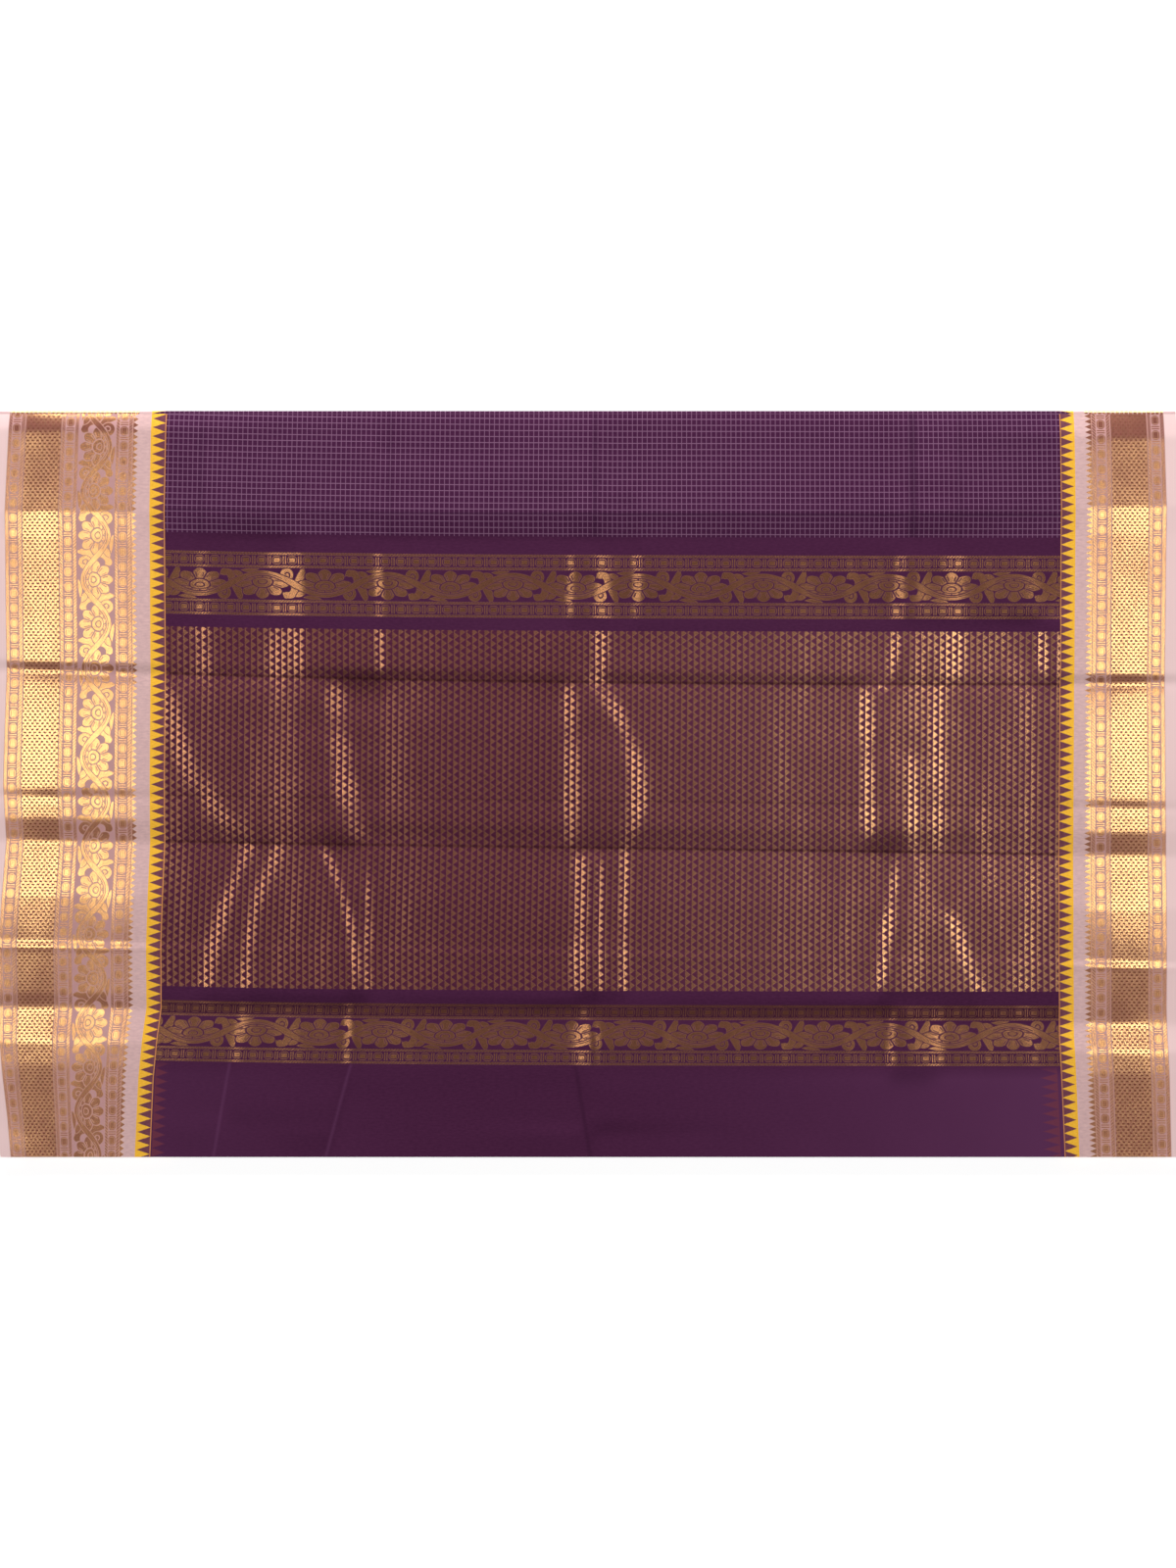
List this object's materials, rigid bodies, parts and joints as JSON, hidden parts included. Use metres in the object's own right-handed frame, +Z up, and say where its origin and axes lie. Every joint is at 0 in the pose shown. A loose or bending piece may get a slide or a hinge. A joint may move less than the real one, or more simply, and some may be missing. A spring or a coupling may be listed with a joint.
{
  "type": "saree",
  "caption": "Saree with a wide and a narrow metallic border, folded as wide as its cloth and laid flat, its patterned end uppermost.",
  "frame": {"origin": "on the surface that the saree lies on, under the middle of the folded cloth", "axes": "+X across the cloth from the wide border to the narrow one, +Y away from the cloth's end, +Z up through the layers"},
  "size_m": [1.223, 0.762, 0.0249],
  "materials": {
    "layered_cloth": "fine soft weave, dull",
    "wide_border_zari": "metallic thread on a pale mauve ground, satin sheen",
    "narrow_border_zari": "metallic thread on a pale mauve ground, satin sheen",
    "temple_weave": "fine soft weave, dull",
    "checked_weave": "fine soft weave with thin pale checks, dull",
    "plain_weave": "fine soft weave, dull",
    "floral_band_zari": "metallic weft on a purple ground, satin sheen",
    "brocade_weave": "metallic weft on a purple ground, satin sheen"
  },
  "bodies": {
    "root": {"folded_layers": "layered_cloth", "rear_fold": "layered_cloth", "wide_border": "wide_border_zari", "wide_temple_edge": "temple_weave", "checked_field": "checked_weave", "munthi_stripe_upper": "plain_weave", "munthi_band_upper": "floral_band_zari", "munthi_stripe_middle": "plain_weave", "munthi_brocade": "brocade_weave", "munthi_stripe_lower": "plain_weave", "munthi_band_lower": "floral_band_zari", "munthi_end": "plain_weave", "narrow_temple_edge": "temple_weave", "narrow_border": "narrow_border_zari"}
  },
  "joints": []
}
